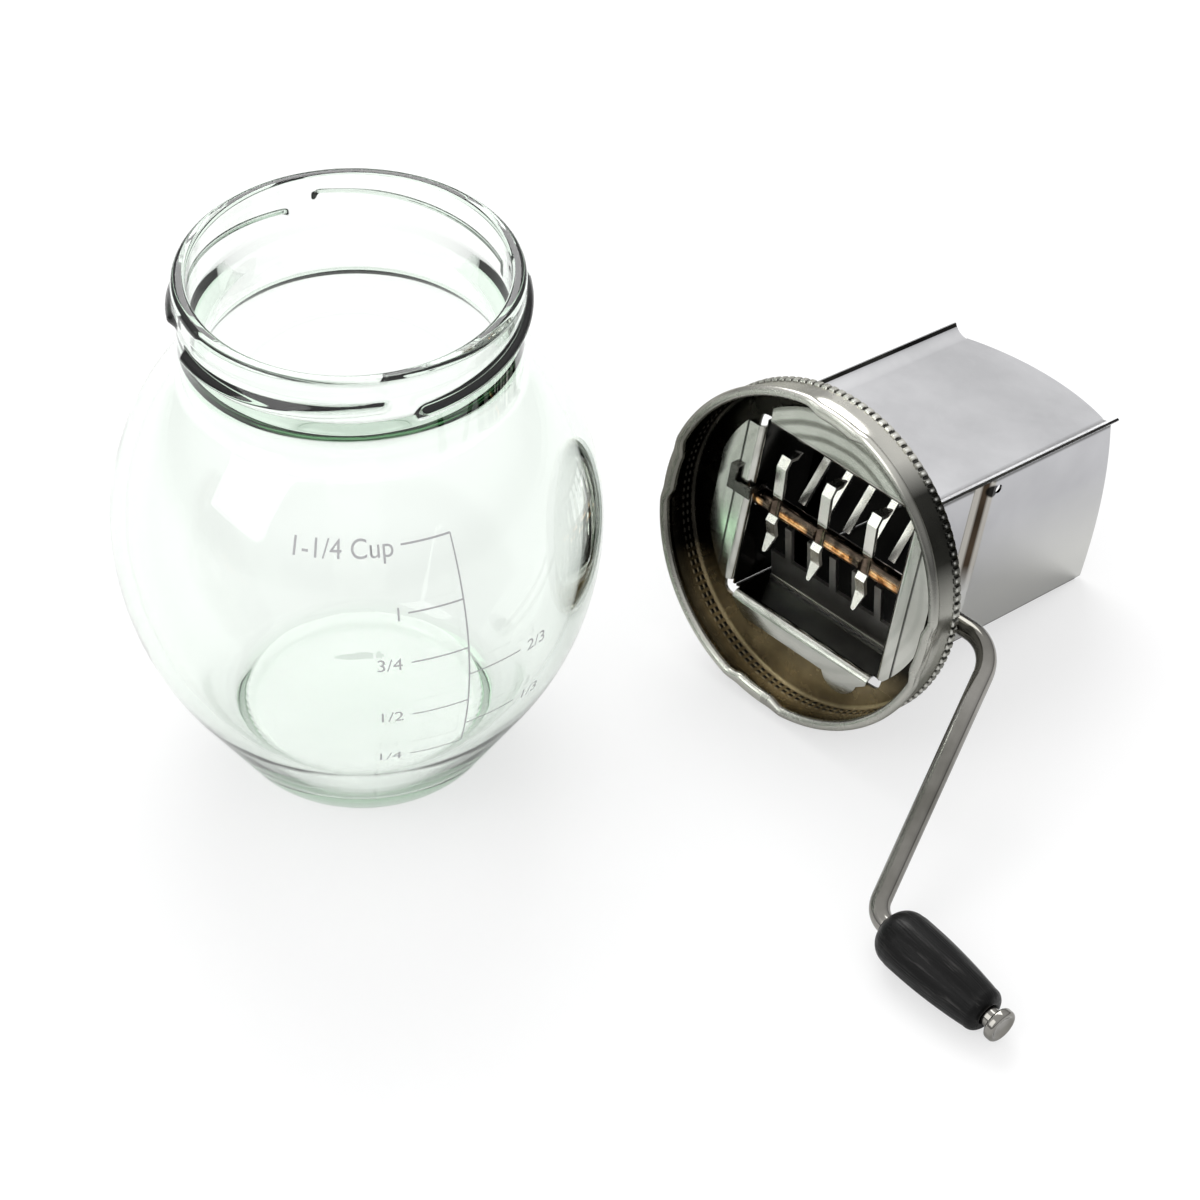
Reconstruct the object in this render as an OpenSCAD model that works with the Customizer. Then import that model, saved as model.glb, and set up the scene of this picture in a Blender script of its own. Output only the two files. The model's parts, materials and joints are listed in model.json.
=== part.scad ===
// Nut grinder: a glass jar with its screw-on grinding head lying beside it.
// Units are millimetres. The origin is the centre of the jar's base, +Z is the jar's axis.
// The head is built in its own frame: x to the front panel, y to the crank, z from ring to mouth.

/* [Jar] */
// Height of the jar
jar_h = 106; // [95:0.5:120]
// Radius at the belly
belly_r = 43.7; // [40:0.1:48]
// Distance of the belly's middle under the lip
belly_drop = 54.4; // [50:0.1:60]
// Slope of the lower flank's straight foot, degrees from upright
flank_slope = 30.3; // [28:0.1:33]
// Radius of the shoulder's curve
shoulder_r = 48.9; // [46:0.1:54]
// Radius of the flat base
base_r = 20.7; // [18:0.1:24]
// Rounding from the base to the flank
heel_r = 4.5; // [3:0.1:6]
// Glass thickness on the flanks
glass_t = 2.8; // [2:0.1:4]
// Glass thickness at the base
base_t = 6.5; // [4:0.1:9]
// Rounding of the hollow's lower corner
punt_r = 5; // [3:0.1:8]
// Outside radius of the lip's band
lip_r = 29.9; // [29.7:0.1:31]
// Height of the lip's band
lip_band = 3.7; // [2.5:0.1:4]
// Outside radius of the neck under the band
neck_r = 29.6; // [28:0.1:29.8]
// Radius of the mouth at the lip
mouth_r = 27.3; // [26:0.1:28]
// Depth of the straight mouth
mouth_depth = 8.8; // [6:0.1:11]
// Radius of the throat under the mouth
throat_r = 25.5; // [23:0.1:27]
// Depth of the throat's top under the lip
throat_depth = 14.8; // [12:0.1:17]
// Rounding of the lip
lip_round = 1.3; // [0.5:0.1:1.8]
// Bevel inside the mouth
mouth_bevel = 0.7; // [0.3:0.1:0.9]
// Concave rounding between shoulder and neck
neck_fillet = 4; // [2:0.1:6]

/* [Jar thread] */
// Number of thread starts
thread_starts = 4; // [3:1:6]
// Length of each thread start, degrees
thread_arc = 78; // [50:1:85]
// Turn of the first thread start, degrees
thread_turn = 20; // [0:1:90]
// Slope of each thread start, degrees
thread_tilt = 4.2; // [2:0.1:6]
// Distance of the thread's middle under the lip
thread_drop = 6.8; // [6:0.1:10]
// Radius of the thread's round section
thread_bead = 1.2; // [0.8:0.1:1.5]
// Outside radius of the thread
thread_r = 31.3; // [30.6:0.1:31.6]

/* [Cap] */
// Outside radius of the cap's skirt
skirt_r = 32.5; // [32.3:0.1:34]
// Sheet thickness of the cap
cap_t = 0.6; // [0.4:0.05:0.9]
// Extra depth of the cap's flat top at the middle
cap_seat = 0.2; // [0:0.05:0.4]
// Height of the cap
cap_h = 9.2; // [8.8:0.1:11]
// Radius of the rolled edge's section
curl_r = 1; // [0.7:0.05:1.3]
// Radius of the rolled edge's outside
curl_out = 33.3; // [33:0.1:35]
// Radius over the knurls
knurl_r = 32.9; // [32.7:0.1:34.4]
// Depth of a knurl groove
knurl_depth = 0.4; // [0.2:0.05:0.5]
// Share of a knurl that is flat
knurl_flat = 0.66; // [0.5:0.01:0.78]
// Number of knurls
knurl_count = 120; // [60:4:144]
// Lower edge of the knurled band
knurl_low = 6.7; // [5:0.1:7]
// Upper edge of the knurled band
knurl_high = 8.5; // [7.6:0.1:8.7]
// Rounding of the cap's shoulder
cap_round = 1.4; // [0.8:0.1:2]
// Number of lugs
lug_count = 4; // [3:1:6]
// Width of a lug, degrees
lug_arc = 22; // [12:1:30]
// Turn of the first lug, degrees
lug_turn = 4; // [0:1:45]
// Inside radius of the lugs
lug_in = 30.3; // [30.1:0.05:31]
// Radius of a lug's section
lug_bead = 0.95; // [0.6:0.05:1.2]

/* [Hopper] */
// Sheet thickness of the hopper and combs
sheet_t = 0.5; // [0.4:0.05:0.8]
// Centre to the front panel's outside
front_n = 17.9; // [16:0.1:20]
// Centre to the back panel's outside
back_n = 20; // [19:0.1:21]
// Centre to the side panels' outside
side_u = 18.6; // [17:0.1:20]
// Half width of the front and back panels' flat part
flat_u = 16.9; // [15:0.1:18]
// Height of the front panel's rim at its corners
mouth_w = 66.6; // [55:0.1:75]
// Height of its middle over the corners
rim_rise = 3.2; // [2:0.1:6]
// Height of the back panel's corners over the front panel's
back_over = 4.4; // [3:0.1:6]
// Height of the back rim's middle over its corners
back_rise = 0.4; // [0.2:0.1:0.6]
// Radius of the side panels' rims
side_rim_r = 82; // [70:1:110]
// Place of those rims' tops towards the back panel
side_rim_n = 11; // [8:0.1:14]
// Height of those rims over the front panel's corners, where they meet
side_step = 0.25; // [0.1:0.05:0.6]
// Rounding inside the fold to the flanges
fold_r = 1.1; // [0.9:0.05:1.5]
// Step from the rim's corners down to the ears' upper ends
ear_step = 0.3; // [0.1:0.1:2]
// Rounding of an ear
ear_r = 3.6; // [3:0.1:5]
// Turn of a front ear, degrees
ear_turn = 63; // [40:1:70]
// Turn of a back ear, degrees
back_turn = 20; // [12:1:40]
// Distance of the ears' lower end over the cap
ear_gap = 1; // [0.4:0.1:3]
// Radius of the flanges' outer corners
flange_r = 27.2; // [26:0.1:28]
// Centre to the straight edge of the flanges
flange_cut = 26.1; // [24:0.1:27]
// Centre to the straight edge of the back flange
back_cut = 23.8; // [22.6:0.1:25]
// Place of the back flange's lobe along the shaft
lobe_u = 10.6; // [4:0.1:12]
// Radius of the back flange's lobe
lobe_r = 4.4; // [3:0.1:5]
// Distance of the lobe's middle inside the straight edge
lobe_in = 1.9; // [1:0.1:3]
// Reach of the side panels' flanges towards the front
side_flange = 16.2; // [14:0.1:17]
// Reach of the side panels' flanges towards the back
side_back = 18.2; // [15:0.1:18.4]
// Distance of the pressed crease in those flanges from the wall
crease_gap = 3.1; // [2:0.1:5]
// Width of the crease
crease_w = 0.4; // [0.2:0.05:0.8]
// Depth of the crease
crease_d = 0.15; // [0.05:0.05:0.25]
// Middle of the side panels' groove
groove_w = 28.6; // [26:0.1:34]
// Half width of the groove
groove_half = 3.1; // [2:0.1:4]
// Depth of the groove
groove_d = 2; // [1:0.1:2.4]
// Radius of the pierced hole by the groove
pierce_r = 0.9; // [0.5:0.1:1.2]
// Place of the pierced hole towards the front panel
pierce_n = 14.6; // [6:0.1:15]
// Distance of the pierced hole over the groove
pierce_gap = 1.6; // [1.2:0.1:6]

/* [Shaft stop] */
// Width of the strip
stop_w = 1.6; // [1:0.1:2]
// Lower edge of the strip
stop_low = 1.2; // [0:0.1:3]
// Length of the strip's upright
stop_len = 5.3; // [4:0.1:8]
// Gap between the strip and the flange
stop_rise = 0.6; // [0.3:0.1:1]
// Distance of the strip past the wall
stop_gap = 2.7; // [2:0.1:3.4]
// Width of the finger beside the shaft
stop_finger = 1.2; // [0.8:0.1:2]
// Gap between the finger and the shaft and wall
stop_play = 0.3; // [0.2:0.05:0.6]

/* [Combs] */
// Distance from slat to slat
slat_pitch = 5.6; // [4.5:0.1:6.5]
// Width of a slat
slat_w = 1.6; // [1.2:0.1:2]
// Number of slats on each side of the middle one
slat_side = 2; // [1:1:2]
// Place of the middle slat along the shaft
slat_shift = -0.3; // [-1:0.1:1]
// Half width of the combs
comb_half = 15.9; // [14:0.1:16]
// Sheet thickness of the combs
comb_t = 0.8; // [0.5:0.05:1]
// Height of the front comb's tips
front_tip_w = 15.6; // [15.2:0.1:17]
// Place of the front comb's tips
front_tip_n = 0.5; // [0:0.1:2]
// Slope of the front comb, degrees
front_slope = 32; // [26:0.5:36]
// Length of the front comb's slots
front_slot = 15.4; // [11:0.1:16]
// Height of the back comb's tips
back_tip_w = 13.4; // [13:0.1:15]
// Place of the back comb's tips
back_tip_n = 4.6; // [4.2:0.1:6]
// Slope of the back comb, degrees
back_slope = 16; // [10:0.5:20]
// Length of the back comb's slots
back_slot = 8.4; // [8:0.1:10]
// Length of the combs' lips on the walls
comb_lip = 3.4; // [2:0.1:5]

/* [Rotor] */
// Diameter of the crank's wire
wire_d = 3.8; // [3:0.1:4]
// Height of the shaft over the ring's edge
shaft_w = 11.7; // [11.6:0.1:13]
// End of the shaft past the left panel
shaft_end = 20.4; // [19.4:0.1:22]
// Corner from shaft to arm
bend_u = 39.4; // [36:0.1:44]
// Corner from arm to spindle
arm_u = 52.9; // [48:0.1:58]
// Throw of the crank at that corner
arm_throw = 52.1; // [44:0.1:56]
// Splay of the spindle from the shaft's line, degrees
grip_angle = 5.7; // [0:0.1:10]
// Rounding of the first corner
bend_r = 7.8; // [6:0.1:9]
// Rounding of the second corner
elbow_r = 4.5; // [4:0.1:6]
// Number of blades
blade_count = 3; // [3:1:3]
// Place of the first blade along the shaft
blade_u = -14.1; // [-14.4:0.1:-13.6]
// Distance from blade to blade
blade_pitch = 11.2; // [9:0.1:13]
// Width of a blade
blade_w = 2.2; // [1.4:0.1:2.6]
// Thickness of a blade
blade_t = 0.8; // [0.5:0.05:1]
// Radius of the blades' tips
blade_r = 11.3; // [10:0.1:11.5]
// Height of a blade's bend over the shaft
blade_bend = 8.7; // [8:0.1:9]
// Height of a blade's hooked end over the shaft
blade_top = 10.5; // [10:0.1:10.6]
// Lean of a blade towards the ring
blade_lean = 0.8; // [0:0.1:1.2]
// Length of the hook
hook_len = 3.9; // [2:0.1:4]
// Length of the hook's point
hook_point = 2; // [1:0.1:3]
// Bend of a blade's lower half under the shaft
foot_bend = 6.7; // [6:0.1:8]
// End of a blade's lower half under the shaft
foot_end = 10; // [9:0.1:10.6]
// Wave of the lower half, to either side
foot_wave = 0.6; // [0:0.1:0.8]
// Width of the lower end as a share of the blade's
foot_tip = 0.4; // [0.3:0.05:0.6]
// Radius of the pressed dimple in the wire by each blade
dimple_r = 1.35; // [0.8:0.05:1.4]
// Distance of the dimple's floor from the wire's middle
dimple_floor = 0.8; // [0.7:0.05:1.2]
// Place of the dimple along the wire from the blade's middle
dimple_u = 0.9; // [0:0.1:1.2]

/* [Grip] */
// Distance of the grip from the crank's corner
grip_start = 3.3; // [3.2:0.1:5]
// Length of the grip
grip_len = 25.2; // [20:0.1:32]
// Widest radius of the grip
grip_r = 5.5; // [4.5:0.1:6.5]
// Place of the widest part from the corner
grip_wide = 10; // [8:0.1:14]
// Radius of the grip's long curve
grip_curve = 112; // [80:1:160]
// Rounding of the grip's inner end
grip_dome = 4; // [2.5:0.1:4.4]
// Distance of the inner end's rounding from the widest radius
dome_inset = 0.15; // [0:0.05:0.4]
// Radius of the grip's outer end
grip_end = 4.3; // [3.6:0.1:4.6]
// Rounding of the grip's outer end
grip_edge = 1.9; // [0.8:0.1:2.2]
// Bare wire between the grip and the button
button_gap = 1.76; // [0.5:0.02:4]
// Radius of the end button
button_r = 3.2; // [2.8:0.1:3.6]
// Thickness of the end button
button_t = 1.9; // [1.5:0.1:2.5]
// Rounding of the button's rims
button_round = 0.6; // [0.3:0.05:0.7]
// Depth of the button's hollow face
button_dish = 0.25; // [0.1:0.05:0.4]
// Width of the rim round the hollow face
button_rim = 1; // [0.6:0.1:1.5]
// Thickness of the button over the wire's end
button_wall = 0.9; // [0.6:0.1:1.2]

/* [Place of the loose head] */
// Distance of the head's foot from the jar's axis, to the side
head_x = 61.4; // [58:0.1:80]
// Distance of the head's middle from the jar's axis, to the front
head_y = 49.6; // [45:0.1:70]

/* [Fits] */
// Radial play of the shaft in the panels
shaft_play = 0.06; // [0.02:0.01:0.1]
// Radial play of the grip on its spindle
grip_play = 0.08; // [0.02:0.01:0.1]
// Gap between pieces of one body
seat_gap = 0.03; // [0.01:0.01:0.1]

/* [Hidden] */
wire_r = wire_d / 2;
back_w = mouth_w + back_over;
ear_n = back_n + ear_r * (1 - cos(back_turn));
tilt = min(atan((knurl_r - ear_n) / (back_w - ear_step - knurl_high)),
    atan((knurl_r - back_n) / (back_w + back_rise - knurl_high)));
head_z = knurl_r * cos(tilt) + knurl_high * sin(tilt);
shaft_z = head_z - shaft_w * sin(tilt);
flange_t = sheet_t;
panel_w = cap_h - cap_t - cap_seat;
flange_w = panel_w - flange_t;
fold_w = panel_w + fold_r;
hole_n = front_n + fold_r;
hole_back = back_n + fold_r;
hole_u = side_u + fold_r;
arm_angle = atan2(arm_throw, arm_u - bend_u);
grip_throw = arm_throw + grip_wide * sin(grip_angle);
spindle_len = grip_start + grip_len + button_gap + button_t;
crank_turn = 180 + acos(hang(0, 4)) - tilt;
belly_z = jar_h - belly_drop;
thread_z = jar_h - thread_drop;
neck_off = belly_r - shoulder_r;
flank_line = base_r * cos(flank_slope) - heel_r * sin(flank_slope) + heel_r;
flank_r = (flank_line - belly_r * cos(flank_slope) + belly_z * sin(flank_slope)) / (1 - cos(flank_slope));
flank_off = belly_r - flank_r;
fillet_r = neck_r + neck_fillet;
fillet_z = belly_z + sqrt(pow(shoulder_r + neck_fillet, 2) - pow(fillet_r - neck_off, 2));
fillet_k = shoulder_r / (shoulder_r + neck_fillet);
lap = 0.05;
over = 1;
side_top = mouth_w + side_step + side_rim_r - sqrt(pow(side_rim_r, 2) - pow(front_n + side_rim_n, 2));
$fn = 96;

// How steeply the crank hangs with its grip's long curve on the table, as a cosine. Each step takes the
// spindle's lean from the step before.
function hang(x, steps) = steps == 0 ? x : hang((shaft_z - grip_curve + (grip_curve - grip_r)
    * sqrt(1 - pow(sin(grip_angle) * x, 2))) / grip_throw, steps - 1);

module at_head() {
    translate([head_x, -head_y, head_z]) rotate([180, tilt - 90, 0]) children();
}

module at_crank() {
    at_head() translate([0, 0, shaft_w]) rotate([0, 180 - crank_turn, 0]) rotate([0, 0, 90]) children();
}

module at_spindle() {
    at_crank() translate([arm_u, arm_throw, 0]) rotate([0, 0, grip_angle]) rotate([0, 90, 0]) children();
}

// A point of the straight lower flank, moved in by depth: at the heel (end 0) or the flank's curve (end 1).
function flank_point(end, depth) = (end == 0 ? [base_r, heel_r] : [flank_off, belly_z])
    + [cos(flank_slope), -sin(flank_slope)] * ((end == 0 ? heel_r : flank_r) - depth);

// The jar's outline, right of the axis.
module jar_outer() {
    low = flank_point(0, 0);
    high = flank_point(1, 0);
    intersection() {
        translate([flank_off, belly_z]) circle(r = flank_r);
        translate([0, high[1]]) square([belly_r + over, belly_z - high[1]]);
    }
    translate([0, high[1]]) square([max(flank_off, over), belly_z - high[1]]);
    intersection() {
        translate([neck_off, belly_z]) circle(r = shoulder_r);
        translate([0, belly_z - 0.01]) square([belly_r + over, fillet_z - belly_z]);
    }
    polygon([[0, 0], [base_r, 0], low, high, [0, high[1] + 0.01]]);
    intersection() {
        translate([base_r, heel_r]) circle(r = heel_r);
        square([base_r + heel_r, low[1] + 0.01]);
    }
    difference() {
        polygon([[0, belly_z], [neck_off + (fillet_r - neck_off) * fillet_k,
            belly_z + (fillet_z - belly_z) * fillet_k], [fillet_r, fillet_z], [0, fillet_z]]);
        translate([fillet_r, fillet_z]) circle(r = neck_fillet);
    }
    translate([0, fillet_z - 0.01]) square([neck_r, jar_h - lip_band - fillet_z + 0.01]);
    polygon([[0, jar_h - lip_band - lip_r + neck_r], [neck_r, jar_h - lip_band - lip_r + neck_r],
        [lip_r, jar_h - lip_band], [lip_r, jar_h - lip_round], [0, jar_h - lip_round]]);
    translate([0, jar_h - lip_round - 0.01]) square([lip_r - lip_round, lip_round + 0.01]);
    intersection() {
        translate([lip_r - lip_round, jar_h - lip_round]) circle(r = lip_round);
        translate([0, jar_h - lip_round - 0.01]) square([lip_r + over, lip_round + 0.02]);
    }
}

// The hollow's outline, right of the axis.
module jar_inner() {
    corner = [(flank_line - glass_t - punt_r + (base_t + punt_r) * sin(flank_slope)) / cos(flank_slope),
        base_t + punt_r];
    low = corner + [cos(flank_slope), -sin(flank_slope)] * punt_r;
    high = flank_point(1, glass_t);
    intersection() {
        translate([flank_off, belly_z]) circle(r = flank_r - glass_t);
        translate([0, high[1]]) square([belly_r, belly_z - high[1]]);
    }
    translate([0, high[1]]) square([max(flank_off, over), belly_z - high[1]]);
    intersection() {
        translate([neck_off, belly_z]) circle(r = shoulder_r - glass_t);
        translate([0, belly_z - 0.01]) square([belly_r, fillet_z - belly_z]);
    }
    polygon([[0, base_t], [corner[0], base_t], low, high, [0, high[1] + 0.01]]);
    intersection() {
        translate(corner) circle(r = punt_r);
        translate([0, base_t]) square([corner[0] + punt_r, low[1] - base_t + 0.01]);
    }
    throat_low = belly_z + sqrt(pow(shoulder_r - glass_t, 2) - pow(throat_r - neck_off, 2)) - over;
    polygon([[0, throat_low], [throat_r, throat_low], [throat_r, jar_h - throat_depth],
        [mouth_r, jar_h - mouth_depth], [mouth_r, jar_h - mouth_bevel],
        [mouth_r + mouth_bevel + over, jar_h + over], [0, jar_h + over]]);
}

module thread_start() {
    ring_r = thread_r - thread_bead;
    rotate([thread_tilt, 0, 0]) {
        rotate([0, 0, -thread_arc / 2]) rotate_extrude(angle = thread_arc) translate([ring_r, 0])
            circle(r = thread_bead, $fn = 48);
        for (side = [-1, 1]) rotate([0, 0, side * thread_arc / 2]) translate([ring_r, 0, 0])
            sphere(r = thread_bead, $fn = 48);
    }
}

module jar() {
    color([0.82, 0.88, 0.84, 0.35]) difference() {
        union() {
            rotate_extrude() jar_outer();
            for (i = [0 : thread_starts - 1]) rotate([0, 0, thread_turn + i * 360 / thread_starts])
                translate([0, 0, thread_z]) thread_start();
        }
        rotate_extrude() jar_inner();
    }
}

// The band of bright flats between narrow grooves round the cap.
module knurl_band() {
    step = 360 / knurl_count;
    translate([0, 0, knurl_low]) linear_extrude(height = knurl_high - knurl_low)
        polygon([for (i = [0 : knurl_count - 1],
            p = [[0, 0], [knurl_flat, 0], [knurl_flat + 0.1, 1], [0.9, 1]])
            [(knurl_r - p[1] * knurl_depth) * cos((i + p[0]) * step),
             (knurl_r - p[1] * knurl_depth) * sin((i + p[0]) * step)]]);
}

module cap_lug() {
    ring_r = lug_in + lug_bead;
    rotate([0, 0, -lug_arc / 2]) rotate_extrude(angle = lug_arc) {
        translate([ring_r, lug_bead]) circle(r = lug_bead, $fn = 36);
        translate([ring_r, 0]) square([skirt_r - cap_t / 2 - ring_r, 2 * lug_bead]);
    }
    for (side = [-1, 1]) rotate([0, 0, side * lug_arc / 2]) translate([ring_r, 0, lug_bead])
        sphere(r = lug_bead, $fn = 36);
}

module cap_shell() {
    color([0.72, 0.72, 0.70]) at_head() difference() {
        union() {
            difference() {
                union() {
                    rotate_extrude() {
                        translate([0, curl_r]) square([skirt_r, knurl_high - curl_r]);
                        square([skirt_r - cap_round, cap_h]);
                        translate([skirt_r - cap_round, cap_h - cap_round]) circle(r = cap_round, $fn = 48);
                    }
                    knurl_band();
                }
                translate([0, 0, -over]) cylinder(h = panel_w + over, r = skirt_r - cap_t);
            }
            rotate_extrude() translate([curl_out - curl_r, curl_r]) circle(r = curl_r, $fn = 36);
            for (i = [0 : lug_count - 1]) rotate([0, 0, lug_turn + i * 360 / lug_count]) cap_lug();
        }
        translate([-hole_back, -hole_u, panel_w - over]) cube([hole_back + hole_n, 2 * hole_u, cap_h]);
    }
}

// The quarter bend between a wall at x = wall_n and its flange, from y = -near to y = far.
module fold(wall_n, near, far) {
    rotate([90, 0, 0]) translate([wall_n + fold_r, fold_w, -far]) linear_extrude(height = near + far)
        difference() {
            circle(r = fold_r + sheet_t, $fn = 48);
            circle(r = fold_r, $fn = 48);
            translate([0, -2 * fold_w]) square(4 * fold_w);
            translate([-2 * fold_w, 0]) square(4 * fold_w);
        }
}

module flange(wall_n, near, far, cut) {
    translate([0, 0, flange_w]) intersection() {
        cylinder(h = flange_t, r = flange_r);
        translate([wall_n + fold_r - 0.01, -near, 0]) cube([cut - wall_n - fold_r, near + far, flange_t]);
    }
}

// An ear, seen along the hopper, on the +y edge of a panel at x = 0.
module ear(turn) {
    translate([ear_r, flat_u]) difference() {
        circle(r = ear_r + sheet_t, $fn = 72);
        circle(r = ear_r, $fn = 72);
        rotate([0, 0, 180 - turn]) translate([-2 * ear_r, -4 * ear_r]) square(4 * ear_r);
        translate([-2 * ear_r, -4 * ear_r]) square(4 * ear_r);
    }
}

// A flat wall in the y-z plane, from y = -near to y = far, its rim an arc of radius rim that tops out
// at height top_w over y = mid and stays over corner_w.
module arched(near, far, low, corner_w, mid, top_w, rim) {
    translate([0, -near, low]) cube([sheet_t, near + far, corner_w - over - low]);
    intersection() {
        translate([0, -near, corner_w - over - 0.01]) cube([sheet_t, near + far, top_w - corner_w + 2 * over]);
        translate([-over, mid, top_w - rim]) rotate([0, 90, 0]) cylinder(h = sheet_t + 2 * over, r = rim);
    }
}

module main_panel(wall_n, corner_w, rise, turn, cut) {
    translate([wall_n - sheet_t, 0, 0]) arched(flat_u, flat_u, fold_w, corner_w, 0, corner_w + rise,
        (flat_u * flat_u + rise * rise) / (2 * rise));
    fold(wall_n, flat_u, flat_u);
    flange(wall_n, flat_u, flat_u, cut);
    for (side = [0, 1]) mirror([0, side, 0]) translate([wall_n, 0, cap_h + ear_gap])
        linear_extrude(height = corner_w - ear_step - cap_h - ear_gap) ear(turn);
}

module front_panel() {
    color([0.78, 0.78, 0.80]) at_head() main_panel(front_n, mouth_w, rim_rise, ear_turn, flange_cut);
}

module back_panel() {
    color([0.74, 0.74, 0.76]) at_head() mirror([1, 0, 0]) {
        main_panel(back_n, back_w, back_rise, back_turn, back_cut);
        translate([0, 0, flange_w]) intersection() {
            translate([back_cut - lobe_in, lobe_u, 0]) cylinder(h = flange_t, r = lobe_r);
            translate([hole_back, 0, 0]) cube([back_cut, flat_u, flange_t]);
        }
    }
}

// The right panel without its pierced hole: drawn on the +x side with the back towards +y, then turned
// to its place. It has the shaft's hole.
module side_panel() {
    near = front_n - sheet_t - seat_gap;
    far = back_n - sheet_t - seat_gap;
    bottom = groove_w - groove_half;
    top = groove_w + groove_half;
    rotate([0, 0, 90]) difference() {
        union() {
            translate([side_u - sheet_t, 0, 0])
                arched(near, far, top - 0.01, mouth_w, side_rim_n, side_top, side_rim_r);
            rotate([90, 0, 0]) translate([0, 0, -far]) linear_extrude(height = near + far)
                polygon([[side_u, fold_w], [side_u, bottom], [side_u - groove_d, groove_w], [side_u, top],
                    [side_u - sheet_t, top], [side_u - sheet_t - groove_d, groove_w],
                    [side_u - sheet_t, bottom], [side_u - sheet_t, fold_w]]);
            fold(side_u, side_flange, side_back);
            flange(side_u, side_flange, side_back, flange_cut);
        }
        translate([side_u - sheet_t - over, 0, shaft_w]) rotate([0, 90, 0])
            cylinder(h = sheet_t + 2 * over, r = wire_r + shaft_play);
        translate([side_u + crease_gap - crease_w / 2, -flange_r, flange_w - over])
            cube([crease_w, 2 * flange_r, over + crease_d]);
    }
}

module left_panel() {
    color([0.80, 0.80, 0.82]) at_head() mirror([0, 1, 0]) side_panel();
}

module right_panel() {
    color([0.80, 0.80, 0.82]) at_head() difference() {
        side_panel();
        translate([pierce_n, side_u + over, groove_w + groove_half + pierce_gap])
            rotate([90, 0, 0]) cylinder(h = sheet_t + 2 * over, r = pierce_r, $fn = 36);
    }
}

// The slots between the slats, along +x from the tips.
module comb_slots(length, t) {
    for (i = [-slat_side - 1 : slat_side]) translate([-over, slat_shift + i * slat_pitch + slat_w / 2, -over])
        cube([length + over, slat_pitch - slat_w, t + 2 * over]);
}

// A comb: tips at (tip_n, tip_w), rising by slope to the wall at x = wall_n, with a lip up the wall.
module comb(wall_n, tip_n, tip_w, slope, slot) {
    wall_x = wall_n - sheet_t - seat_gap;
    run = (wall_x - comb_t - tip_n) / cos(slope);
    rise_w = tip_w + (wall_x - comb_t - tip_n) * tan(slope);
    translate([tip_n, 0, tip_w]) rotate([0, -slope, 0]) difference() {
        translate([0, -comb_half, 0]) cube([run + comb_t / 4, 2 * comb_half, comb_t]);
        comb_slots(slot, comb_t);
    }
    translate([wall_x - comb_t, -comb_half, rise_w - comb_t / 4]) cube([comb_t, 2 * comb_half, comb_lip]);
}

module front_comb() {
    color([0.66, 0.66, 0.66]) at_head() comb(front_n, front_tip_n, front_tip_w, front_slope,
        front_slot);
}

module back_comb() {
    color([0.62, 0.62, 0.62]) at_head() mirror([1, 0, 0])
        comb(back_n, back_tip_n, back_tip_w, back_slope, back_slot);
}

// The bent strip under the left flange that keeps the shaft's far end in: an upright, a lip back to
// the flange at its top, an arm to the wall and a finger up beside the shaft.
module shaft_stop() {
    base_w = flange_w - stop_rise - sheet_t;
    edge = side_u + stop_gap;
    inner = side_u - sheet_t - stop_play;
    finger_n = wire_r + stop_play;
    color([0.35, 0.35, 0.34]) at_head() {
        translate([stop_low, -edge - stop_w, base_w]) cube([stop_len, stop_w, sheet_t]);
        translate([stop_low + stop_len - sheet_t, -edge - stop_w, base_w])
            cube([sheet_t, stop_w, sheet_t + stop_rise - seat_gap]);
        translate([stop_low, -edge - lap, base_w])
            cube([finger_n + stop_finger - stop_low, edge + lap - inner + sheet_t, sheet_t]);
        translate([finger_n, -inner, base_w]) cube([stop_finger, sheet_t, shaft_w - base_w]);
    }
}

// A straight stretch of wire, lapped a little into the bends at its ends.
module rod(from, length, angle) {
    translate([from[0], from[1], 0]) rotate([0, 0, angle]) translate([-lap, 0, 0]) rotate([0, 90, 0])
        cylinder(h = length + 2 * lap, r = wire_r, $fn = 48);
}

// A bend, a hair thinner than the wire so that the stretches meet it squarely.
module bend(radius, turn) {
    rotate_extrude(angle = turn) translate([radius, 0]) circle(r = wire_r - 0.01, $fn = 48);
}

module crank_wire() {
    cut_1 = bend_r * tan(arm_angle / 2);
    cut_2 = elbow_r * tan((arm_angle - grip_angle) / 2);
    arm_len = norm([arm_u - bend_u, arm_throw]) - cut_1 - cut_2;
    arm_dir = [cos(arm_angle), sin(arm_angle)];
    grip_dir = [cos(grip_angle), sin(grip_angle)];
    arm_start = [bend_u, 0] + arm_dir * cut_1;
    elbow = arm_start + arm_dir * arm_len;
    color([0.70, 0.69, 0.66]) at_crank() {
        difference() {
            rod([-shaft_end, 0], shaft_end + bend_u - cut_1, 0);
            rotate([crank_turn, 0, 0]) for (i = [0 : blade_count - 1])
                translate([blade_u + i * blade_pitch - blade_w / 2 - seat_gap, -wire_d,
                    -blade_t / 2 - seat_gap]) cube([blade_w + 2 * seat_gap, 2 * wire_d,
                    blade_t + 2 * seat_gap]);
            rotate([crank_turn, 0, 0]) for (i = [0 : blade_count - 1])
                translate([blade_u + i * blade_pitch + dimple_u, 0, dimple_floor + dimple_r])
                    rotate([90, 0, 0]) cylinder(h = 2 * wire_d, r = dimple_r, center = true, $fn = 48);
        }
        translate([bend_u - cut_1, bend_r, 0]) rotate([0, 0, -90]) bend(bend_r, arm_angle);
        rod(arm_start, arm_len, arm_angle);
        translate([elbow[0] + sin(arm_angle) * elbow_r, elbow[1] - cos(arm_angle) * elbow_r, 0])
            rotate([0, 0, 90 + grip_angle]) bend(elbow_r, arm_angle - grip_angle);
        rod([arm_u, arm_throw] + grip_dir * cut_2, spindle_len - cut_2 - button_wall, grip_angle);
    }
}

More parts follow.
